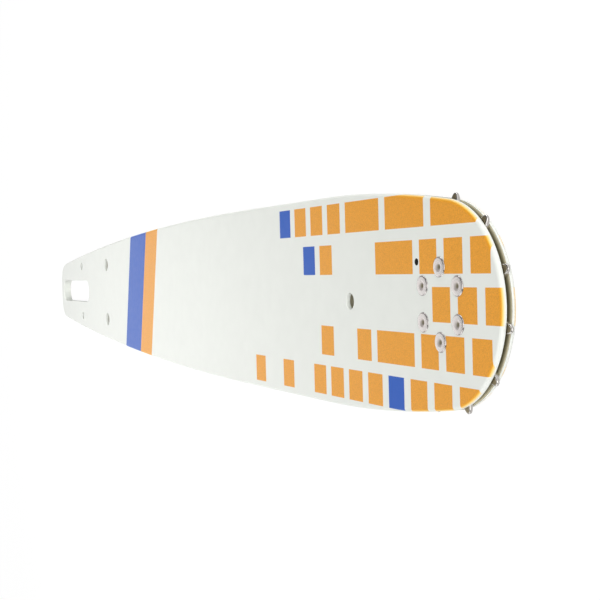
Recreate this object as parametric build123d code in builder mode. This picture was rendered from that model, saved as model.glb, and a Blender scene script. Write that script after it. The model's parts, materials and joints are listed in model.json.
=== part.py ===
"""Laminated chainsaw guide bar with a sprocket nose.

Two painted steel side plates are spot-welded to a thinner core plate. The core is set back from
the edge, which leaves the groove that the saw chain runs in. Past the end of the core, the nose
holds a toothed sprocket. It turns on loose needle rollers around an inner race, and six rivets
hold the race between the side plates.

Frame, in millimetres: the origin is the centre of the bar stud slot, midway through the thickness.
+X runs along the bar to the nose, +Y across its width and +Z out of its upper face.
"""

import os
from math import asin, cos, degrees, floor, pi, radians, sin, tan

from build123d import *

# Outline of the bar
nose_reach = 401.5  # from the middle of the stud slot to the sprocket's axis
nose_radius = 27.6
belly_setback = 66.0  # from the sprocket's axis back to where the edges run straight
belly_length = 60.0
belly_half_width = 32.2
tail_length = 36.5  # from the middle of the stud slot to the tail end
tail_half_width = 15.1  # at the tail end, before its corners are rounded
tail_corner_radius = 11.0

# Laminations
groove_width = 1.6  # chain gauge, and the thickness of the core and of the race
groove_depth = 6.0
plate_thickness = 1.4
plate_edge_bevel = 0.7
core_tail_setback = 0.5
core_tongue_wall = 2.2  # core beside the stud slot, where the edge is closest
core_pocket_clearance = 1.0  # from the tooth tips to the end of the core

# Holes where the saw holds, tensions and oils the bar
stud_slot_length = 63.0
stud_slot_width = 12.2
tensioner_x = 70.0
tensioner_y = 14.5
tensioner_diameter = 6.5
oil_inlet_x = 16.0
oil_inlet_y = 14.2
oil_inlet_diameter = 4.0
oil_notch_wall = 0.5  # by which the notch in the core is wider than the oil inlet
locating_hole_setback = 50.7  # from the sprocket's axis, on the centre line
locating_hole_diameter = 5.0

# Nose bearing
roller_diameter = 3.2
roller_sides = 10  # flats on each roller, few because the rollers repeat
roller_clearance = 0.03  # radial, at the race and at the sprocket's bore
roller_spacing = 0.05  # least gap between neighbours
roller_end_clearance = 0.12
grease_hole_diameter = 1.7
grease_hole_angle = 135.0

# Nose sprocket
tooth_count = 12
tooth_phase = 19.0  # direction of the first tooth from +X, in degrees
tooth_reach = 1.65  # beyond the rim of the nose
tooth_rim_width = 2.85  # straight across, at the rim of the nose
tooth_flank_angle = 23.4  # between a flank and the middle line of its tooth, in degrees
tooth_corner_share = 0.75  # of half the tip's width, cut off at each of its corners
tooth_bevel_length = 2.6  # how far the side bevels run down from the tip
tooth_tip_thickness = 0.75
gullet_depth = 5.8  # below the rim of the nose
sprocket_ring_width = 4.2  # from the gullets' roots to the bore
sprocket_side_clearance = 0.125

# Rivets
rivet_count = 6
rivet_edge_distance = 4.54  # from the edge of the race to a rivet's axis
rivet_phase = 90.0
rivet_shank_diameter = 3.2
rivet_hole_clearance = 0.02  # radial
rivet_head_diameter = 5.4
rivet_head_height = 0.35
rivet_sides = 16  # flats on each head and shank, few because the rivets repeat

# Levels and radii that follow from the sizes above
core_top = groove_width / 2
plate_top = core_top + plate_thickness
nose_center = (nose_reach, 0)
tip_radius = nose_radius + tooth_reach
gullet_root_radius = nose_radius - gullet_depth
bore_radius = gullet_root_radius - sprocket_ring_width
roller_circle_radius = bore_radius - roller_clearance - roller_diameter / 2
race_radius = bore_radius - roller_diameter - 2 * roller_clearance
rivet_circle_radius = race_radius - rivet_edge_distance
rivet_hole_radius = rivet_shank_diameter / 2 + rivet_hole_clearance

os.makedirs("parts", exist_ok=True)


def export(part, name):
    """Names the finished piece and writes its STEP file."""
    part.label = name
    export_step(part, f"parts/{name}.step")


# Outline shared by the laminations: it runs smoothly from the nose to the tail, with a straight
# stretch between two arcs where the bar is widest
belly_front = nose_reach - belly_setback
belly_back = belly_front - belly_length
shoulder_radius = (belly_setback**2 + belly_half_width**2 - nose_radius**2) / (
    2 * (belly_half_width - nose_radius)
)
shoulder_center = (belly_front, belly_half_width - shoulder_radius)
shoulder_turn = degrees(asin(belly_setback / (shoulder_radius - nose_radius)))
flank_run = belly_back + tail_length
flank_drop = belly_half_width - tail_half_width
flank_radius = (flank_run**2 + flank_drop**2) / (2 * flank_drop)
flank_center = (belly_back, belly_half_width - flank_radius)


def bar_outline(inset):
    """Sketch of the outline, drawn the given distance inside the bar's edge."""
    tail_end = inset - tail_length
    flank_turn = degrees(asin((belly_back - tail_end) / (flank_radius - inset)))
    with BuildSketch() as outline:
        with BuildLine():
            nose = CenterArc(nose_center, nose_radius - inset, 0, 90 - shoulder_turn)
            shoulder = CenterArc(
                shoulder_center, shoulder_radius - inset, 90 - shoulder_turn, shoulder_turn
            )
            flank = CenterArc(flank_center, flank_radius - inset, 90, flank_turn)
            Line(shoulder @ 1, flank @ 0)
            Polyline(flank @ 1, (tail_end, 0), nose @ 0)
        make_face()
        mirror(about=Plane.XZ)
        tail_corners = outline.vertices().group_by(Axis.X)[0]
        fillet(tail_corners, radius=tail_corner_radius - inset)
    return outline.sketch


# Holes that pass through all three laminations
with BuildSketch() as through_holes:
    SlotOverall(stud_slot_length, stud_slot_width)
    with Locations((tensioner_x, tensioner_y), (tensioner_x, -tensioner_y)):
        Circle(tensioner_diameter / 2)
    with Locations((nose_reach - locating_hole_setback, 0)):
        Circle(locating_hole_diameter / 2)

# Front side plate, with the rivet, grease and oil holes that the core lacks
with BuildPart() as side_plate_front:
    with BuildSketch(Plane.XY.offset(core_top)):
        add(bar_outline(0))
        add(through_holes.sketch, mode=Mode.SUBTRACT)
        with Locations((oil_inlet_x, oil_inlet_y), (oil_inlet_x, -oil_inlet_y)):
            Circle(oil_inlet_diameter / 2, mode=Mode.SUBTRACT)
        with Locations(nose_center):
            with PolarLocations(rivet_circle_radius, rivet_count, rivet_phase):
                Circle(rivet_hole_radius, mode=Mode.SUBTRACT)
            with PolarLocations(roller_circle_radius, 1, grease_hole_angle):
                Circle(grease_hole_diameter / 2, mode=Mode.SUBTRACT)
    extrude(amount=plate_thickness)
    outer_face = side_plate_front.faces().sort_by(Axis.Z)[-1]
    chamfer(outer_face.outer_wire().edges(), length=plate_edge_bevel)
export(side_plate_front.part, "side_plate_front")

# Rear side plate, the front one seen in a mirror
with BuildPart() as side_plate_rear:
    mirror(side_plate_front.part, about=Plane.XY)
export(side_plate_rear.part, "side_plate_rear")

# Core plate: it ends in a round pocket for the sprocket, and its edge is notched at the oil inlets
with BuildPart() as core_plate:
    with BuildSketch(Plane.XY.offset(-core_top)):
        add(bar_outline(groove_depth))
        tongue_start = core_tail_setback - tail_length
        with Locations((tongue_start, 0)):
            Rectangle(
                stud_slot_length,
                stud_slot_width + 2 * core_tongue_wall,
                align=(Align.MIN, Align.CENTER),
            )
        add(bar_outline(0), mode=Mode.INTERSECT)
        add(through_holes.sketch, mode=Mode.SUBTRACT)
        with Locations((oil_inlet_x, oil_inlet_y), (oil_inlet_x, -oil_inlet_y)):
            Circle(oil_inlet_diameter / 2 + oil_notch_wall, mode=Mode.SUBTRACT)
        with Locations(nose_center):
            Circle(tip_radius + core_pocket_clearance, mode=Mode.SUBTRACT)
    extrude(amount=groove_width)
export(core_plate.part, "core_plate")

# Inner race, clamped between the side plates by the rivets
with BuildPart() as inner_race:
    with BuildSketch(Plane.XY.offset(-core_top)):
        with Locations(nose_center):
            Circle(race_radius)
            with PolarLocations(rivet_circle_radius, rivet_count, rivet_phase):
                Circle(rivet_hole_radius, mode=Mode.SUBTRACT)
    extrude(amount=groove_width)
export(inner_race.part, "inner_race")

# Nose sprocket: a star of pointed teeth, whose gullets take the chain's drive links.
# Each gullet is a round root with straight flanks that leave it on a tangent, and each tooth
# is thinned by a bevel on both its sides.
sprocket_thickness = groove_width - 2 * sprocket_side_clearance
half_pitch = pi / tooth_count
flank_slope = half_pitch + radians(tooth_flank_angle)
gullet_rim = nose_radius * cos(half_pitch) + tooth_rim_width / 2 * sin(half_pitch)
gullet_rim_half_width = nose_radius * sin(half_pitch) - tooth_rim_width / 2 * cos(half_pitch)
gullet_radius = (
    cos(flank_slope)
    * (gullet_rim_half_width - tan(flank_slope) * (gullet_rim - gullet_root_radius))
    / (1 - sin(flank_slope))
)
gullet_center = gullet_root_radius + gullet_radius
gullet_bend = gullet_center - gullet_radius * sin(flank_slope)
gullet_bend_half_width = gullet_radius * cos(flank_slope)
gullet_mouth = tip_radius + tooth_reach
gullet_mouth_half_width = gullet_rim_half_width + tan(flank_slope) * (gullet_mouth - gullet_rim)
tip_half_width = tooth_rim_width / 2 - tooth_reach * tan(radians(tooth_flank_angle))
bevel_slope = (sprocket_thickness - tooth_tip_thickness) / (2 * tooth_bevel_length)

with BuildPart() as tooth_bevels:
    with BuildSketch(Plane.XZ):
        Polygon(
            (tip_radius - tooth_bevel_length, sprocket_thickness / 2),
            (gullet_mouth, tooth_tip_thickness / 2 - bevel_slope * tooth_reach),
            (gullet_mouth, sprocket_thickness / 2),
            align=None,
        )
        mirror(about=Plane.XZ)
    extrude(amount=tooth_rim_width, both=True)

with BuildPart() as nose_sprocket:
    with BuildSketch(Plane.XY.offset(-sprocket_thickness / 2)):
        with Locations(nose_center):
            Circle(tip_radius)
            with PolarLocations(0, tooth_count, tooth_phase + 180 / tooth_count):
                with Locations((gullet_center, 0)):
                    Circle(gullet_radius, mode=Mode.SUBTRACT)
                Polygon(
                    (gullet_bend, -gullet_bend_half_width),
                    (gullet_mouth, -gullet_mouth_half_width),
                    (gullet_mouth, gullet_mouth_half_width),
                    (gullet_bend, gullet_bend_half_width),
                    align=None,
                    mode=Mode.SUBTRACT,
                )
            Circle(bore_radius, mode=Mode.SUBTRACT)
    extrude(amount=sprocket_thickness)
    tip_edges = (
        nose_sprocket.edges()
        .filter_by(Axis.Z)
        .filter_by(lambda edge: (edge.center() - Vector(nose_center)).length > nose_radius)
    )
    chamfer(tip_edges, length=tooth_corner_share * tip_half_width)
    with Locations(nose_center):
        with PolarLocations(0, tooth_count, tooth_phase):
            add(tooth_bevels.part, mode=Mode.SUBTRACT)
export(nose_sprocket.part, "nose_sprocket")

# Needle rollers, a full ring of them between the race and the sprocket
roller_length = groove_width - 2 * roller_end_clearance
roller_pitch = roller_diameter + roller_spacing
roller_count = floor(pi / asin(roller_pitch / (2 * roller_circle_radius)))
for index in range(roller_count):
    roller_angle = 2 * pi * index / roller_count
    roller_base = Plane(
        (
            nose_reach + roller_circle_radius * cos(roller_angle),
            roller_circle_radius * sin(roller_angle),
            -roller_length / 2,
        )
    )
    with BuildPart() as needle_roller:
        with BuildSketch(roller_base):
            RegularPolygon(roller_diameter / 2, roller_sides)
        extrude(amount=roller_length)
    export(needle_roller.part, f"needle_roller_{index + 1:02d}")

# Nose rivets: a flat round head on each side
with BuildPart() as rivet:
    with BuildSketch(Plane.XY.offset(-plate_top)):
        RegularPolygon(rivet_shank_diameter / 2, rivet_sides)
    extrude(amount=2 * plate_top)
    with BuildSketch(Plane.XY.offset(plate_top), Plane.XY.offset(-plate_top - rivet_head_height)):
        RegularPolygon(rivet_head_diameter / 2, rivet_sides)
    extrude(amount=rivet_head_height)

with BuildPart() as nose_rivets:
    with Locations(nose_center):
        with PolarLocations(rivet_circle_radius, rivet_count, rivet_phase, rotate=False):
            add(rivet.part)
export(nose_rivets.part, "nose_rivets")
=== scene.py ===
"""Looks of a laminated chainsaw guide bar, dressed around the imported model.

Sizes are in millimetres and become metres where a mesh or the camera is made. Those of the stage and
its lamps are in metres from the start. The frame is the model's own: the origin is the middle of the
bar stud slot, +X runs to the nose, +Y across the bar and +Z out of the upper face.
"""

import json
from math import asin, atan2, cos, degrees, pi, radians, sin, sqrt, tan

import bmesh
import bpy
from mathutils import Matrix, Quaternion, Vector


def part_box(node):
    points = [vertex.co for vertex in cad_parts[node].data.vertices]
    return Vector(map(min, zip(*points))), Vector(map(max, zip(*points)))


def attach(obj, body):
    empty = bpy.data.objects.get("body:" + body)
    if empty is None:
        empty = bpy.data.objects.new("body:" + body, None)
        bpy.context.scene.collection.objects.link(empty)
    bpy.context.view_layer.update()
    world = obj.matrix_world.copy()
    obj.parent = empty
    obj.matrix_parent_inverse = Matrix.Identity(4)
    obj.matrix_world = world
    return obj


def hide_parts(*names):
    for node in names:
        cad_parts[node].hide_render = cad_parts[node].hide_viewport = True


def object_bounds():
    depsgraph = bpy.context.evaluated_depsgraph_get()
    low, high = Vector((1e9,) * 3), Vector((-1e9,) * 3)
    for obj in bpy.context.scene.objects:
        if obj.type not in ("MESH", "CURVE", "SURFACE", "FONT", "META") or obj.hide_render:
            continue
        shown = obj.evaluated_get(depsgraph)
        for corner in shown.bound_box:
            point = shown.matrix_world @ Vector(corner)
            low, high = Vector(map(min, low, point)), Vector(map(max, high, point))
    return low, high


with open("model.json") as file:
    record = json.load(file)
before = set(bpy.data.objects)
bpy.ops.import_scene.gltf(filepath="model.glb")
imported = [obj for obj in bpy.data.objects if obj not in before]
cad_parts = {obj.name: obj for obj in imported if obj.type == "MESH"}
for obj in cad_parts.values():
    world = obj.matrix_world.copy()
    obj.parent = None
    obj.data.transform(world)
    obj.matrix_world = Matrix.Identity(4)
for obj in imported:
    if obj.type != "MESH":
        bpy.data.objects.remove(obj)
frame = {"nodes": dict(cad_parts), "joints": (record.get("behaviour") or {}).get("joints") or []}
cad_low, cad_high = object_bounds()

MM = 0.001


def node_box(name):
    """Lowest and highest corner of a CAD node, in millimetres."""
    low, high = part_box(name)
    return low / MM, high / MM


# Sizes read from the frame
plate_low, plate_high = node_box("side_plate_front")
_, sprocket_high = node_box("nose_sprocket")
_, race_high = node_box("inner_race")
_, rivets_high = node_box("nose_rivets")
nose_x = frame["joints"][0]["pos_m"][0] / MM
nose_radius = plate_high.x - nose_x
belly_half_width = plate_high.y
tail_length = -plate_low.x
core_top = plate_low.z
plate_top = plate_high.z
sprocket_half_thickness = sprocket_high.z
race_radius = race_high.x - nose_x
head_top = rivets_high.z

# Outline and holes of the side plates
belly_setback = 66.0
belly_length = 60.0
tail_half_width = 15.1
tail_corner_radius = 11.0
plate_edge_round = 1.0
plate_inner_round = 0.12
# depth inside the rail over which the groove's painted shade runs from bright to dark
groove_fade_depth = 2.0
hole_edge_round = 0.18
small_hole_edge_round = 0.04
stud_slot_length = 63.0
stud_slot_width = 12.2
tensioner_spot = (70.0, 14.5)
tensioner_radius = 3.25
oil_inlet_spot = (16.0, 14.2)
oil_inlet_radius = 2.0
locating_hole_setback = 50.7
locating_hole_radius = 2.5
grease_hole_angle = 135.0
grease_hole_radius = 0.85

# Nose sprocket
tooth_count = 12
tooth_phase = 19.0
tooth_reach = 1.65
tooth_rim_width = 2.85
tooth_bevel_length = 2.6
tooth_tip_half_thickness = 0.375
tooth_tip_fullness = 2.7
tooth_flank_angle = 23.4
gullet_depth = 5.8
sprocket_ring_width = 4.2
sprocket_edge_round = 0.26

# Needle rollers and rivets
roller_diameter = 3.2
roller_end_clearance = 0.12
roller_end_round = 0.25
rivet_count = 6
rivet_edge_distance = 4.54
rivet_phase = 90.0
rivet_shank_radius = 1.6
rivet_head_radius = 2.7
rivet_rim_round = 0.42
rivet_head_dome = 0.06
rivet_foot_round = 0.1
rivet_dimple_radius = 1.4
rivet_dimple_depth = 0.45

# Radii that follow
tip_radius = nose_radius + tooth_reach
gullet_root_radius = nose_radius - gullet_depth
bore_radius = gullet_root_radius - sprocket_ring_width
roller_circle_radius = (bore_radius + race_radius) / 2
rivet_circle_radius = race_radius - rivet_edge_distance

# Steps along curves and round edges
nose_steps = 90
shoulder_steps = 32
flank_steps = 60
tail_corner_steps = 24
slot_end_steps = 40
hole_steps = 64
small_hole_steps = 40
rail_round_steps = 10
hole_round_steps = 4
small_round_steps = 3
tip_steps = 14
gullet_steps = 16
sprocket_round_steps = 6
bore_steps = 160
rivet_steps = 72
rivet_dimple_steps = 12
rivet_rim_steps = 8
rivet_foot_steps = 6
roller_steps = 40
roller_end_steps = 4
wall_steps = 96

# Narrow flat strip beside a rounded edge, which keeps the shading of the face from bending there
flat_border = 0.08

# Paint and print on the side plates
block_pitch = (12.2, 12.6)
block_size = (8.7, 9.2)
block_offset = 5.6  # along the bar, where the blocks and the places of their fading are counted from
block_fade_start = 415.0
block_fade_end = 346.0
block_fade_reach = 60.0  # by which each row out from the middle reaches farther back
block_fill = 1.7
block_blue_share = 0.16
block_pair_share = 0.3
pair_seed = 5.0
block_seed = 11.0
stripe_lean = 0.249
stripe_blue = (111.2, 136.8)
stripe_orange = (136.8, 154.5)
print_thins = (0.02, 0.4)  # depths below the face, over which the print turns thin
print_ends = (0.12, 1.1)  # depths below the face, over which it comes to an end
print_grain_size = 0.3
print_grain_detail = 1.0
print_grain = (0.72, 1.28)
paint_white = (0.77, 0.79, 0.745)
paint_orange = (0.77, 0.325, 0.024)
paint_thin_orange = (0.93, 0.6, 0.1)
paint_blue = (0.006, 0.088, 0.46)
paint_thin_blue = (0.2, 0.33, 0.68)
paint_cloud_size = 6.0
paint_clouds = (0.97, 1.03)
paint_gloss_size = 2.5
paint_roughness = (0.3, 0.42)
paint_index = 1.45
paint_specular = 0.17
paint_relief_size = 0.6
paint_relief = 0.01
paint_relief_strength = 0.35
slot_paint_width = 0.3  # by which the paint of the stud slot reaches into the core plate

# Steel
steel_grain_size = 0.8
steel_grain_detail = 4.0
steel_relief = 0.008
steel_relief_strength = 0.4
# power on the share of the way out to the mouth, which shapes the groove's painted shade
groove_shade_power = 2.5
groove_grain = (0.85, 1.15)
groove_specular = 0.1
dimple_depths = (0.04, 0.42)  # below the top of a rivet head, over which its dimple darkens with painted shade and turns rougher and less metallic
dimple_grain_size = 0.5
dimple_grain = (0.92, 1.08)
dimple_metallic = (0.6, 0.1)
dimple_roughness = (0.4, 0.65)

# Stage, with its sizes in metres
stage_radius = 5.0
stage_wall_height = 1.6
floor_colour = (0.85, 0.85, 0.85)
floor_roughness = 0.9
floor_glow = 1.08
floor_glow_share = 0.86
room_colour = (1, 1, 1)
room_light = 0.2

# Camera, as fitted to the photograph
camera_spot = Vector((645.9, 11.0, 154.9))
camera_target = Vector((315.0, -0.2, 2.2))
camera_roll = -92.37
camera_lens = 66.18
camera_sensor_width = 36
camera_near_limit = 10.0


# Edge loops: points of an outline, each with the direction that leaves the material there


def arc(center, radius, start, end, steps, outward=1):
    """Points along an arc between two directions in degrees."""
    points = []
    for index in range(steps + 1):
        angle = radians(start + (end - start) * index / steps)
        ray = Vector((cos(angle), sin(angle)))
        points.append((Vector(center) + radius * ray, outward * ray))
    return points


def mirrored(points):
    """The same points on the other side of the X axis, in reverse order."""
    flip = Vector((1, -1))
    return [(point * flip, normal * flip) for point, normal in reversed(points)]


def bar_loop():
    """Outline of the bar, from the nose to the tail and back."""
    belly_front = nose_x - belly_setback
    belly_back = belly_front - belly_length
    shoulder_radius = (belly_setback**2 + belly_half_width**2 - nose_radius**2) / (
        2 * (belly_half_width - nose_radius)
    )
    shoulder_turn = degrees(asin(belly_setback / (shoulder_radius - nose_radius)))
    shoulder_center = (belly_front, belly_half_width - shoulder_radius)
    flank_run = belly_back + tail_length
    flank_drop = belly_half_width - tail_half_width
    flank_radius = (flank_run**2 + flank_drop**2) / (2 * flank_drop)
    flank_center = Vector((belly_back, belly_half_width - flank_radius))
    corner_x = tail_corner_radius - tail_length
    corner_reach = flank_radius - tail_corner_radius
    corner_y = flank_center.y + sqrt(corner_reach**2 - (corner_x - belly_back) ** 2)
    corner_start = degrees(atan2(corner_y - flank_center.y, corner_x - belly_back))
    upper = arc((nose_x, 0), nose_radius, 0, 90 - shoulder_turn, nose_steps)
    upper += arc(shoulder_center, shoulder_radius, 90 - shoulder_turn, 90, shoulder_steps)[1:]
    upper += arc(flank_center, flank_radius, 90, corner_start, flank_steps)
    upper += arc((corner_x, corner_y), tail_corner_radius, corner_start, 180, tail_corner_steps)[1:]
    return upper + mirrored(upper)[:-1]


def hole_loop(center, radius, steps=hole_steps):
    """A round hole, whose material lies outside it."""
    return arc(center, radius, 0, 360, steps, outward=-1)[:-1]


def slot_loop(length, width):
    """A slot with round ends along the X axis, centred on the origin."""
    reach = (length - width) / 2
    right_end = arc((reach, 0), width / 2, -90, 90, slot_end_steps, outward=-1)
    left_end = arc((-reach, 0), width / 2, 90, 270, slot_end_steps, outward=-1)
    return right_end + left_end


def polar(radius, angle):
    """A point that far from the sprocket's axis, in that direction in degrees."""
    return (nose_x + radius * cos(radians(angle)), radius * sin(radians(angle)))


def rivet_spots():
    """Where the rivets' axes are."""
    angles = [rivet_phase + 360 * index / rivet_count for index in range(rivet_count)]
    return [polar(rivet_circle_radius, angle) for angle in angles]


# Meshes


def finish_mesh(name, bm, body, replaced, materials):
    """Turns the bmesh, in millimetres, into a piece of the object."""
    bmesh.ops.recalc_face_normals(bm, faces=bm.faces)
    bmesh.ops.scale(bm, vec=(MM, MM, MM), verts=bm.verts)
    mesh = bpy.data.meshes.new(name)
    bm.to_mesh(mesh)
    bm.free()
    mesh.shade_smooth()
    piece = bpy.data.objects.new(name, mesh)
    bpy.context.scene.collection.objects.link(piece)
    for material in materials:
        mesh.materials.append(material)
    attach(piece, body)
    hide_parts(*replaced)


def ring(bm, loop, inset, height):
    """One ring of vertices, the given distance inside the loop's edge."""
    spots = [point - inset * normal for point, normal in loop]
    return [bm.verts.new((spot.x, spot.y, height)) for spot in spots]


def join_rings(bm, lower, upper, material_index=0):
    """Quads between two rings of as many vertices."""
    count = len(lower)
    for index in range(count):
        after = (index + 1) % count
        face = bm.faces.new((lower[index], lower[after], upper[after], upper[index]))
        face.material_index = material_index


def ring_edges(bm, vertices):
    """Edges that close a ring of vertices."""
    count = len(vertices)
    return [bm.edges.get((vertices[index], vertices[(index + 1) % count])) for index in range(count)]


def fill(bm, rings, material_index):
    """A flat face bounded by the rings."""
    edges = [edge for vertices in rings for edge in ring_edges(bm, vertices)]
    result = bmesh.ops.triangle_fill(bm, edges=edges, use_beauty=True, normal=(0, 0, 1))
    for element in result["geom"]:
        if isinstance(element, bmesh.types.BMFace):
            element.material_index = material_index


def rounded(radius, height, side, steps):
    """Insets and heights of a quarter round on an edge at that height, from wall to face."""
    turns = [pi / 2 * index / steps for index in range(steps + 1)]
    return [(radius * (1 - cos(turn)), height - side * radius * (1 - sin(turn))) for turn in turns]


def edge_profile(outer_round, steps):
    """Insets and heights of a plate's edge, from its inner face to its outer face."""
    inner = rounded(plate_inner_round, core_top, -1, small_round_steps)
    outer = rounded(outer_round, plate_top, 1, steps)
    first = (plate_inner_round + flat_border, core_top)
    last = (outer_round + flat_border, plate_top)
    return [first, *reversed(inner), *outer, last]


# Materials of a side plate
PAINT = 0
BARE = 1
# near-black walls of the small drilled holes, painted shade
HOLE = 2

# Value on its vertices: the share of the way out from the depth of the groove to its mouth, which sets
# the groove's painted shade
MOUTH = "groove_mouth"


def side_plate(name, side, node, materials):
    """A side plate with rounded rails: side is 1 for the front one and -1 for the rear one."""
    rail = edge_profile(plate_edge_round, rail_round_steps)
    punched = edge_profile(hole_edge_round, hole_round_steps)
    drilled = edge_profile(small_hole_edge_round, small_round_steps)
    tensioner_x, tensioner_y = tensioner_spot
    oil_x, oil_y = oil_inlet_spot
    painted = [slot_loop(stud_slot_length, stud_slot_width)]
    for hand in (1, -1):
        painted.append(hole_loop((tensioner_x, hand * tensioner_y), tensioner_radius))
        painted.append(hole_loop((oil_x, hand * oil_y), oil_inlet_radius))
    painted.append(hole_loop((nose_x - locating_hole_setback, 0), locating_hole_radius))
    grease_spot = polar(roller_circle_radius, grease_hole_angle)
    bare = [hole_loop(grease_spot, grease_hole_radius, small_hole_steps)]
    bare += [hole_loop(spot, rivet_shank_radius, small_hole_steps) for spot in rivet_spots()]
    outline = bar_loop()
    edges = [(outline, rail, PAINT)]
    edges += [(hole, punched, PAINT) for hole in painted]
    edges += [(hole, drilled, HOLE) for hole in bare]
    bm = bmesh.new()
    mouth = bm.verts.layers.float.new(MOUTH)
    inner_rings = []
    outer_rings = []
    for loop, profile, finish in edges:
        rings = [ring(bm, loop, inset, side * height) for inset, height in profile]
        join_rings(bm, rings[0], rings[1], BARE)
        for lower, upper in zip(rings[1:], rings[2:]):
            join_rings(bm, lower, upper, finish)
        inner_rings.append(rings[0])
        outer_rings.append(rings[-1])
    # The groove's walls take painted shade: bright at the mouth, dark at groove_fade_depth inside it
    for vertex in inner_rings[0]:
        vertex[mouth] = 1.0
    deep_ring = ring(bm, outline, groove_fade_depth, side * core_top)
    join_rings(bm, deep_ring, inner_rings[0], BARE)
    inner_rings[0] = deep_ring
    fill(bm, inner_rings, BARE)
    fill(bm, outer_rings, PAINT)
    finish_mesh(name, bm, "bar", [node], materials)


def revolve(bm, profile, center, steps):
    """Faces of a solid of revolution: the profile is rows of a radius and a height."""
    first_face = len(bm.faces)
    rings = []
    for radius, height in profile[1:-1]:
        circle = arc(center, radius, 0, 360, steps)[:-1]
        rings.append(ring(bm, circle, 0, height))
    for lower, upper in zip(rings, rings[1:]):
        join_rings(bm, lower, upper)
    for (_, height), circle in ((profile[0], rings[0]), (profile[-1], rings[-1])):
        pole = bm.verts.new((*center, height))
        for index, vertex in enumerate(circle):
            bm.faces.new((pole, vertex, circle[(index + 1) % steps]))
    bm.faces.ensure_lookup_table()
    return bm.faces[first_face:]


# Materials of a rivet
HEAD = 0
DIMPLE = 1


def rivet_half(side):
    """Profile of one end of a rivet, from the middle of the dimple to the shank."""
    rows = []
    for step in range(rivet_dimple_steps + 1):
        share = step / rivet_dimple_steps
        bowl = rivet_dimple_depth * (1 + cos(pi * share)) / 2
        rows.append((rivet_dimple_radius * share, head_top - bowl))
    shoulder = rivet_head_radius - rivet_rim_round
    shoulder_height = head_top - rivet_head_dome
    rows.append((shoulder - flat_border, shoulder_height))
    rim = rounded(rivet_rim_round - rivet_head_dome, shoulder_height, 1, rivet_rim_steps)
    foot = rounded(rivet_foot_round, plate_top, -1, rivet_foot_steps)
    rows += [(rivet_head_radius - inset, height) for inset, height in [*reversed(rim), *foot]]
    rows.append((rivet_shank_radius, plate_top))
    return [(radius, side * height) for radius, height in rows]


def rivets(materials):
    """All the nose rivets: heads with a rounded rim and a pressed dimple on both sides."""
    bm = bmesh.new()
    profile = rivet_half(1) + list(reversed(rivet_half(-1)))
    for spot in rivet_spots():
        for face in revolve(bm, profile, spot, rivet_steps):
            in_dimple = (face.calc_center_median().xy - Vector(spot)).length < rivet_dimple_radius
            face.material_index = DIMPLE if in_dimple else HEAD
    finish_mesh("rivets_pressed", bm, "bar", ["nose_rivets"], materials)


def half_tooth():
    """Edge points of one side of a tooth: its tip, down to where the side bevel starts, and its gullet.

    The first coordinate runs out along the tooth, the second across it. The tip is a blunt arch, which
    runs into the straight flank at the rim of the nose.
    """
    half_pitch = 180 / tooth_count
    gullet_angle = half_pitch + tooth_flank_angle
    slope = radians(gullet_angle)
    lean = radians(tooth_flank_angle)
    turn = radians(half_pitch)
    half_width = tooth_rim_width / 2
    tip = []
    for step in range(tip_steps + 1):
        share = step / tip_steps
        point = Vector((tip_radius - tooth_reach * share**tooth_tip_fullness, half_width * share))
        fall = tooth_tip_fullness * tooth_reach * share ** (tooth_tip_fullness - 1)
        tip.append((point, Vector((half_width, fall)).normalized()))
    bevel_drop = tooth_bevel_length - tooth_reach
    bevel_foot = Vector((nose_radius - bevel_drop, half_width + bevel_drop * tan(lean)))
    tip.append((bevel_foot, Vector((sin(lean), cos(lean)))))
    gullet_rim = nose_radius * cos(turn) + half_width * sin(turn)
    gullet_rim_half_width = nose_radius * sin(turn) - half_width * cos(turn)
    gullet_rise = gullet_rim - gullet_root_radius
    gullet_radius = cos(slope) * (gullet_rim_half_width - tan(slope) * gullet_rise) / (1 - sin(slope))
    gullet_reach = gullet_root_radius + gullet_radius
    center = (gullet_reach * cos(turn), gullet_reach * sin(turn))
    flank_end = half_pitch - 90 - gullet_angle
    gullet = arc(center, gullet_radius, flank_end, half_pitch - 180, gullet_steps, outward=-1)
    return tip, gullet


# Materials of the sprocket
# the sides are the edges' steel painted dark, a painted reflection of the dark groove
SIDE = 0
EDGE = 1


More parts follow.
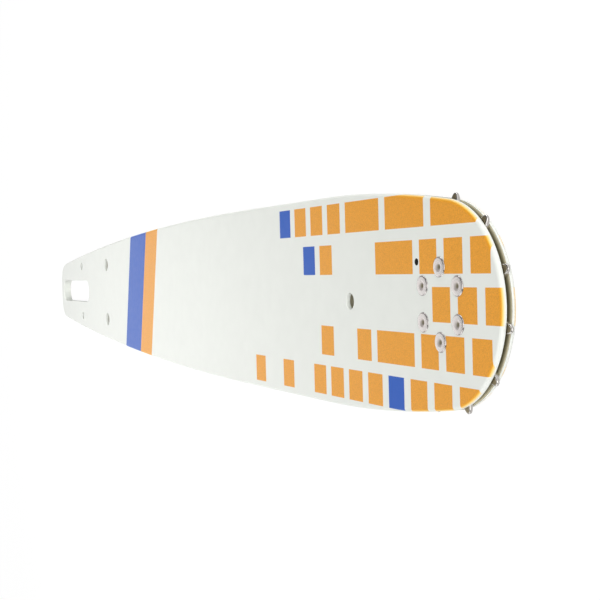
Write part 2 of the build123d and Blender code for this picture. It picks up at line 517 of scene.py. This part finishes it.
def sprocket(materials):
    """The nose sprocket: round gullets, and blunt teeth with bevelled sides and rounded edges."""
    tip, gullet = half_tooth()
    bevel_start = tip_radius - tooth_bevel_length
    bevel_slope = (sprocket_half_thickness - tooth_tip_half_thickness) / tooth_bevel_length
    lead = list(reversed(gullet))
    tooth = [*reversed(tip), *reversed(mirrored(tip[1:]))]
    root = list(reversed(mirrored(gullet[:-1])))
    outline = lead + tooth + root
    edge = rounded(sprocket_edge_round, 0, 1, sprocket_round_steps)
    half_profile = [(sprocket_edge_round + flat_border, 0), *reversed(edge)]
    bm = bmesh.new()

    def edge_ring(inset, drop, side):
        placed = []
        for index in range(tooth_count):
            turn = Matrix.Rotation(radians(tooth_phase - 360 * index / tooth_count), 2)
            for point, normal in outline:
                inner = point - inset * normal
                bevel = max(0, inner.x - bevel_start) * bevel_slope
                spot = turn @ inner
                height = side * (sprocket_half_thickness - bevel + drop)
                placed.append(bm.verts.new((nose_x + spot.x, spot.y, height)))
        return placed

    upper = [edge_ring(inset, drop, 1) for inset, drop in half_profile]
    lower = [edge_ring(inset, drop, -1) for inset, drop in reversed(half_profile)]
    rings = upper + lower
    for first, second in zip(rings, rings[1:]):
        join_rings(bm, first, second, EDGE)
    bore = arc((nose_x, 0), bore_radius, 0, 360, bore_steps)[:-1]
    bores = [ring(bm, bore, 0, side * sprocket_half_thickness) for side in (1, -1)]
    join_rings(bm, *bores, EDGE)
    for face_ring, bore_ring in zip((rings[0], rings[-1]), bores):
        hub = []
        for index in range(tooth_count):
            part = face_ring[index * len(outline) : (index + 1) * len(outline)]
            tooth_face = part[len(lead) : len(lead) + len(tooth)]
            bm.faces.new(tooth_face)
            hub += [*part[: len(lead)], tooth_face[0], tooth_face[-1], *part[len(lead) + len(tooth) :]]
        fill(bm, [hub, bore_ring], SIDE)
    replaced = ["nose_sprocket"]
    finish_mesh("sprocket_polished", bm, "sprocket", replaced, materials)


def needle_rollers(materials):
    """The ring of loose rollers, each with rounded ends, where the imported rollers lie."""
    half_length = core_top - roller_end_clearance
    radius = roller_diameter / 2
    end = rounded(roller_end_round, half_length, 1, roller_end_steps)
    upper = [(radius - inset, height) for inset, height in reversed(end)]
    lower = [(across, -height) for across, height in reversed(upper)]
    profile = [(0, half_length), *upper, *lower, (0, -half_length)]
    for node in sorted(name for name in frame["nodes"] if name.startswith("needle_roller")):
        low, high = node_box(node)
        center = ((low.x + high.x) / 2, (low.y + high.y) / 2)
        bm = bmesh.new()
        revolve(bm, profile, center, roller_steps)
        finish_mesh(f"{node}_ground", bm, "roller_ring", [node], materials)


# Materials

# Sockets of a Mix node that hold colours
MIX_FIRST = 6
MIX_SECOND = 7
MIX_RESULT = 2


class Paint:
    """A material's node tree, to which most calls add nodes and return the last one's output."""

    def __init__(self, name):
        self.material = bpy.data.materials.new(name)
        self.material.use_nodes = True
        self.tree = self.material.node_tree
        self.shader = self.tree.nodes["Principled BSDF"]

    def put(self, socket, value):
        """Links an output to the socket, or sets the socket's own value."""
        if isinstance(value, bpy.types.NodeSocket):
            self.tree.links.new(value, socket)
        else:
            socket.default_value = value

    def set(self, **values):
        """Sets the shader's sockets, named with underscores for spaces."""
        for name, value in values.items():
            self.put(self.shader.inputs[name.replace("_", " ")], value)

    def math(self, operation, *values):
        """The result of a sum on numbers or outputs."""
        node = self.tree.nodes.new("ShaderNodeMath")
        node.operation = operation
        for socket, value in zip(node.inputs, values):
            self.put(socket, value)
        return node.outputs[0]

    def place(self):
        """The place on the piece, in metres."""
        return self.tree.nodes.new("ShaderNodeTexCoord").outputs["Object"]

    def coordinate(self, axis):
        """One coordinate of the place on the piece, in millimetres."""
        node = self.tree.nodes.new("ShaderNodeSeparateXYZ")
        self.put(node.inputs[0], self.place())
        return self.math("DIVIDE", node.outputs[axis], MM)

    def vector(self, x, y, z):
        """Three values in one."""
        node = self.tree.nodes.new("ShaderNodeCombineXYZ")
        for socket, value in zip(node.inputs, (x, y, z)):
            self.put(socket, value)
        return node.outputs[0]

    def random(self, x, y, z):
        """Three random shares that depend on three whole numbers alone."""
        node = self.tree.nodes.new("ShaderNodeTexWhiteNoise")
        node.noise_dimensions = "3D"
        self.put(node.inputs["Vector"], self.vector(x, y, z))
        parts = self.tree.nodes.new("ShaderNodeSeparateColor")
        self.put(parts.inputs[0], node.outputs["Color"])
        return parts.outputs

    def noise(self, size, detail=3.0):
        """Noise whose features are about that many millimetres across."""
        node = self.tree.nodes.new("ShaderNodeTexNoise")
        node.inputs["Scale"].default_value = 1 / (size * MM)
        node.inputs["Detail"].default_value = detail
        self.put(node.inputs["Vector"], self.place())
        return node.outputs["Fac"]

    def between(self, value, low, high):
        """The value, a share from 0 to 1, spread over another range."""
        node = self.tree.nodes.new("ShaderNodeMapRange")
        for name, item in (("Value", value), ("To Min", low), ("To Max", high)):
            self.put(node.inputs[name], item)
        return node.outputs[0]

    def ramp(self, value, start, end):
        """A share that rises smoothly from 0 to 1 between the two values."""
        node = self.tree.nodes.new("ShaderNodeMapRange")
        node.interpolation_type = "SMOOTHSTEP"
        for name, item in (("Value", value), ("From Min", start), ("From Max", end)):
            self.put(node.inputs[name], item)
        return node.outputs[0]

    def span(self, value, low, high):
        """1 where the value lies between the two bounds, else 0."""
        above = self.math("GREATER_THAN", value, low)
        below = self.math("LESS_THAN", value, high)
        return self.math("MULTIPLY", above, below)

    def mix(self, share, first, second, blend="MIX"):
        """The first colour, that share of the way to the second or to a blend of both."""
        node = self.tree.nodes.new("ShaderNodeMix")
        node.data_type = "RGBA"
        node.blend_type = blend
        self.put(node.inputs[0], share)
        for index, value in ((MIX_FIRST, first), (MIX_SECOND, second)):
            colour = value if isinstance(value, bpy.types.NodeSocket) else (*value, 1)
            self.put(node.inputs[index], colour)
        return node.outputs[MIX_RESULT]

    def shade(self, colour, factor):
        """The colour times the factor."""
        return self.mix(1.0, colour, self.vector(factor, factor, factor), "MULTIPLY")

    def bump(self, height, depth, strength):
        """Relief of that depth in millimetres."""
        node = self.tree.nodes.new("ShaderNodeBump")
        node.inputs["Strength"].default_value = strength
        node.inputs["Distance"].default_value = depth * MM
        self.put(node.inputs["Height"], height)
        self.put(self.shader.inputs["Normal"], node.outputs[0])


def block_print(paint, x, y):
    """1 where the print of plain blocks lies, and 1 where its blocks are blue and not orange.

    Rows of blocks are laid like bricks, each row half a block on from the last. Some neighbours join
    into a long block. The blocks thin out away from the nose, in the middle rows first.
    """
    calc = paint.math
    pitch_x, pitch_y = block_pitch
    size_x, size_y = block_size

    row_place = calc("ADD", calc("DIVIDE", y, pitch_y), 0.5)
    row = calc("FLOOR", row_place)
    across = calc("SUBTRACT", calc("FRACT", row_place), 0.5)
    in_height = calc("LESS_THAN", calc("ABSOLUTE", across), size_y / pitch_y / 2)

    shift = calc("MULTIPLY", calc("PINGPONG", row, 1.0), 0.5)
    run = calc("SUBTRACT", x, block_offset)
    column_place = calc("ADD", calc("DIVIDE", run, pitch_x), shift)
    column = calc("FLOOR", column_place)
    along = calc("SUBTRACT", calc("FRACT", column_place), 0.5)
    in_block = calc("LESS_THAN", calc("ABSOLUTE", along), size_x / pitch_x / 2)

    pair = calc("FLOOR", calc("DIVIDE", column, 2.0))
    joined = calc("LESS_THAN", paint.random(pair, row, pair_seed)[0], block_pair_share)
    lone = calc("SUBTRACT", 1.0, joined)
    odd = calc("PINGPONG", column, 1.0)
    to_partner = calc("MULTIPLY", along, paint.between(odd, 1.0, -1.0))
    in_gap = calc("MULTIPLY", joined, calc("GREATER_THAN", to_partner, 0.0))
    in_length = calc("MAXIMUM", in_block, in_gap)

    cell = calc("ADD", calc("MULTIPLY", pair, 2.0), calc("MULTIPLY", odd, lone))
    middle = calc("MULTIPLY", calc("SUBTRACT", calc("ADD", cell, 0.5), shift), pitch_x)
    row_reach = calc("MULTIPLY", calc("ABSOLUTE", row), block_fade_reach)
    fade_end = calc("SUBTRACT", block_fade_end, row_reach)
    fade_run = calc("SUBTRACT", block_fade_start, fade_end)
    nearness = calc("DIVIDE", calc("SUBTRACT", middle, fade_end), fade_run)
    chance = paint.random(cell, row, block_seed)
    present = calc("LESS_THAN", chance[0], calc("MULTIPLY", nearness, block_fill))
    shown = calc("MULTIPLY", present, calc("MULTIPLY", in_length, in_height))
    blue = calc("MULTIPLY", lone, calc("LESS_THAN", chance[1], block_blue_share))
    return shown, blue


def plate_paint():
    """White gloss paint with the print of blocks and stripes, which thins out over the rails."""
    paint = Paint("printed_paint")
    x, y, z = (paint.coordinate(axis) for axis in "XYZ")
    depth = paint.math("SUBTRACT", plate_top, paint.math("ABSOLUTE", z))
    thin = paint.ramp(depth, *print_thins)
    left = paint.math("SUBTRACT", 1.0, paint.ramp(depth, *print_ends))
    grain = paint.between(paint.noise(print_grain_size, print_grain_detail), *print_grain)
    orange = paint.mix(thin, paint.shade(paint_orange, grain), paint_thin_orange)
    blue = paint.mix(thin, paint_blue, paint_thin_blue)
    in_block, block_is_blue = block_print(paint, x, y)
    straight = paint.math("SUBTRACT", x, paint.math("MULTIPLY", y, stripe_lean))
    inks = (
        (in_block, paint.mix(block_is_blue, orange, blue)),
        (paint.span(straight, *stripe_blue), blue),
        (paint.span(straight, *stripe_orange), orange),
    )
    colour = paint.shade(paint_white, paint.between(paint.noise(paint_cloud_size), *paint_clouds))
    for covered, ink in inks:
        colour = paint.mix(paint.math("MULTIPLY", covered, left), colour, ink)
    gloss = paint.between(paint.noise(paint_gloss_size), *paint_roughness)
    paint.set(Base_Color=colour, Roughness=gloss, IOR=paint_index, Specular_IOR_Level=paint_specular)
    paint.bump(paint.noise(paint_relief_size), paint_relief, paint_relief_strength)
    return paint.material


def steel_surface(paint, dark, light, roughness, grain_size=steel_grain_size, relief=steel_relief):
    """Gives steel a gloss and a relief that vary, and returns its colour."""
    tone = paint.noise(grain_size, steel_grain_detail)
    paint.set(Roughness=paint.between(paint.noise(2 * grain_size), *roughness))
    paint.bump(tone, relief, steel_relief_strength)
    return paint.mix(tone, dark, light)


def bare_steel(name, metallic=1.0, **surface):
    """Steel whose tone and gloss vary between two values."""
    paint = Paint(name)
    paint.set(Base_Color=steel_surface(paint, **surface), Metallic=metallic)
    return paint.material


def slotted_steel(name, metallic, **surface):
    """Bare steel of the core plate, with paint on the wall of the stud slot."""
    paint = Paint(name)
    reach_x = stud_slot_length / 2 + slot_paint_width
    reach_y = stud_slot_width / 2 + slot_paint_width
    in_length = paint.span(paint.coordinate("X"), -reach_x, reach_x)
    in_width = paint.span(paint.coordinate("Y"), -reach_y, reach_y)
    painted = paint.math("MULTIPLY", in_length, in_width)
    paint.set(Base_Color=paint.mix(painted, steel_surface(paint, **surface), paint_white))
    paint.set(Metallic=paint.between(painted, metallic, 0.0))
    return paint.material


def groove_shade_steel(name, deep, lit_mouth, roughness):
    """Steel of the groove's walls, with painted shade: dark towards the depth of the groove and bright
    towards its mouth.
    """
    paint = Paint(name)
    attribute = paint.tree.nodes.new("ShaderNodeAttribute")
    attribute.attribute_name = MOUTH
    painted_shade_share = paint.math("POWER", attribute.outputs["Fac"], groove_shade_power)
    grain = paint.between(paint.noise(steel_grain_size, steel_grain_detail), *groove_grain)
    paint.set(Base_Color=paint.shade(paint.mix(painted_shade_share, deep, lit_mouth), grain))
    paint.set(Roughness=paint.between(paint.noise(2 * steel_grain_size), *roughness))
    paint.set(Specular_IOR_Level=groove_specular)
    return paint.material


def pressed_steel(name, bright, deep_shade):
    """Steel of the rivets' dimples: darker with depth below the top of a head as painted shade, and
    rougher and less metallic there.
    """
    paint = Paint(name)
    depth = paint.math("SUBTRACT", head_top, paint.math("ABSOLUTE", paint.coordinate("Z")))
    deep_share = paint.ramp(depth, *dimple_depths)
    grain = paint.between(paint.noise(dimple_grain_size, steel_grain_detail), *dimple_grain)
    paint.set(Base_Color=paint.shade(paint.mix(deep_share, bright, deep_shade), grain))
    paint.set(Metallic=paint.between(deep_share, *dimple_metallic))
    paint.set(Roughness=paint.between(deep_share, *dimple_roughness))
    return paint.material


printed_paint = plate_paint()
# Groove walls: painted shade, from the dark deep colour to the bright mouth colour
groove_steel = groove_shade_steel(
    "groove_steel",
    deep=(0.155, 0.142, 0.075),
    lit_mouth=(0.95, 0.88, 0.63),
    roughness=(0.5, 0.65),
)
# Near-black walls of the small drilled holes: painted shade for the dark inside of the holes
hole_shade_steel = bare_steel(
    "hole_shade_steel",
    dark=(0.03, 0.028, 0.022),
    light=(0.05, 0.046, 0.036),
    roughness=(0.5, 0.7),
    metallic=0.5,
)
core_steel = slotted_steel(
    "core_steel",
    dark=(0.22, 0.2, 0.135),
    light=(0.32, 0.295, 0.21),
    roughness=(0.45, 0.6),
    metallic=0.5,
)
bearing_steel = bare_steel(
    "bearing_steel",
    dark=(0.5, 0.5, 0.5),
    light=(0.62, 0.62, 0.61),
    roughness=(0.18, 0.3),
)
# Sprocket sides and tooth faces: the edges' steel painted dark olive-brown, a painted reflection of the
# dark groove
tooth_side_shaded_steel = bare_steel(
    "tooth_side_shaded_steel",
    dark=(0.16, 0.13, 0.075),
    light=(0.24, 0.2, 0.12),
    roughness=(0.35, 0.5),
    metallic=0.8,
)
tooth_edge_steel = bare_steel(
    "tooth_edge_steel",
    dark=(0.42, 0.4, 0.38),
    light=(0.52, 0.5, 0.475),
    roughness=(0.07, 0.13),
)
rivet_steel = bare_steel(
    "rivet_steel",
    dark=(0.475, 0.448, 0.436),
    light=(0.54, 0.51, 0.495),
    roughness=(0.16, 0.24),
    grain_size=2.0,
    relief=0.001,
)
# Dimples: the deep colour is painted shade in the bowl
dimple_steel = pressed_steel("dimple_steel", bright=(0.6, 0.55, 0.53), deep_shade=(0.17, 0.15, 0.09))

# Pieces
plate_finish = [printed_paint, groove_steel, hole_shade_steel]
side_plate("side_plate_front_painted", 1, "side_plate_front", plate_finish)
side_plate("side_plate_rear_painted", -1, "side_plate_rear", plate_finish)
sprocket([tooth_side_shaded_steel, tooth_edge_steel])
rivets([rivet_steel, dimple_steel])
needle_rollers([bearing_steel])
for node, material in (("core_plate", core_steel), ("inner_race", bearing_steel)):
    mesh = frame["nodes"][node].data
    mesh.materials.clear()
    mesh.materials.append(material)


# Stage: a white floor, soft lamps and the camera


def floor_white():
    """Material that shows white to the camera and in reflections, and still takes a soft shadow."""
    paint = Paint("floor_white")
    paint.set(Base_Color=(*floor_colour, 1), Roughness=floor_roughness, Specular_IOR_Level=0.0)
    nodes = paint.tree.nodes
    path = nodes.new("ShaderNodeLightPath").outputs
    seen = paint.math("MAXIMUM", path["Is Camera Ray"], path["Is Glossy Ray"])
    seen = paint.math("MAXIMUM", seen, path["Is Transmission Ray"])
    share = paint.math("MULTIPLY", seen, floor_glow_share)
    glow = nodes.new("ShaderNodeEmission")
    glow.inputs["Strength"].default_value = floor_glow
    mixed = nodes.new("ShaderNodeMixShader")
    for socket, value in zip(mixed.inputs, (share, paint.shader.outputs[0], glow.outputs[0])):
        paint.put(socket, value)
    paint.put(nodes["Material Output"].inputs["Surface"], mixed.outputs[0])
    return paint.material


def white_stage(height):
    """A wide floor, with a low wall far off all round it that hides the horizon."""
    bpy.ops.mesh.primitive_plane_add(size=2 * stage_radius, location=(0, 0, height))
    floor = bpy.context.object
    floor.name = "floor"
    bpy.ops.mesh.primitive_cylinder_add(
        vertices=wall_steps,
        radius=stage_radius,
        depth=stage_wall_height,
        end_fill_type="NOTHING",
        location=(0, 0, height + stage_wall_height / 2),
    )
    wall = bpy.context.object
    wall.name = "wall"
    material = floor_white()
    for surface in (floor, wall):
        surface.data.materials.append(material)


def soft_lamp(name, spot, target, size, power, spread=180):
    """A soft lamp that faces the target and that the camera doesn't see.

    Its places, width and height are in metres, its power in watts and its spread in degrees.
    """
    lamp = bpy.data.lights.new(name, "AREA")
    lamp.shape = "RECTANGLE"
    lamp.size, lamp.size_y = size
    lamp.energy = power
    lamp.spread = radians(spread)
    holder = bpy.data.objects.new(name, lamp)
    holder.location = spot
    holder.visible_camera = False
    holder.rotation_euler = (Vector(target) - Vector(spot)).to_track_quat("-Z", "Y").to_euler()
    bpy.context.scene.collection.objects.link(holder)


def plain_world(colour, strength):
    """Even light from all round."""
    world = bpy.data.worlds.new("soft_room")
    world.use_nodes = True
    background = world.node_tree.nodes["Background"]
    background.inputs["Color"].default_value = (*colour, 1)
    background.inputs["Strength"].default_value = strength
    bpy.context.scene.world = world


def photo_camera():
    """The camera, rolled so that the bar's width runs up the picture."""
    lens = bpy.data.cameras.new("camera")
    lens.lens = camera_lens
    lens.sensor_width = camera_sensor_width
    lens.clip_start = camera_near_limit * MM
    camera = bpy.data.objects.new("camera", lens)
    camera.location = camera_spot * MM
    level = (camera_target - camera_spot).to_track_quat("-Z", "Y")
    camera.rotation_mode = "QUATERNION"
    camera.rotation_quaternion = level @ Quaternion((0, 0, 1), radians(camera_roll))
    bpy.context.scene.collection.objects.link(camera)
    bpy.context.scene.camera = camera


nose_spot = (nose_x * MM, 0, 0)
white_stage(cad_low.z)
plain_world(room_colour, room_light)
soft_lamp("card", spot=(-0.75, -0.22, 0.45), target=nose_spot, size=(0.7, 0.7), power=2.0)
soft_lamp("middle", spot=(0.1, -0.1, 0.35), target=(0.1, 0, 0), size=(0.3, 0.3), power=0.28, spread=110)
soft_lamp("key", spot=(1.42, -0.09, 0.55), target=nose_spot, size=(1.0, 1.0), power=11.2)
soft_lamp("glint", spot=(0.8, 0.45, 0.33), target=nose_spot, size=(0.5, 0.3), power=0.95)
soft_lamp("side", spot=(0.36, -0.35, 0.2), target=nose_spot, size=(0.4, 0.4), power=0.68)
soft_lamp("back", spot=(0.2, 0.9, 0.11), target=(0.2, 0, 0), size=(1.2, 0.2), power=4.5)
photo_camera()

view = bpy.context.scene.view_settings
view.view_transform = "Standard"
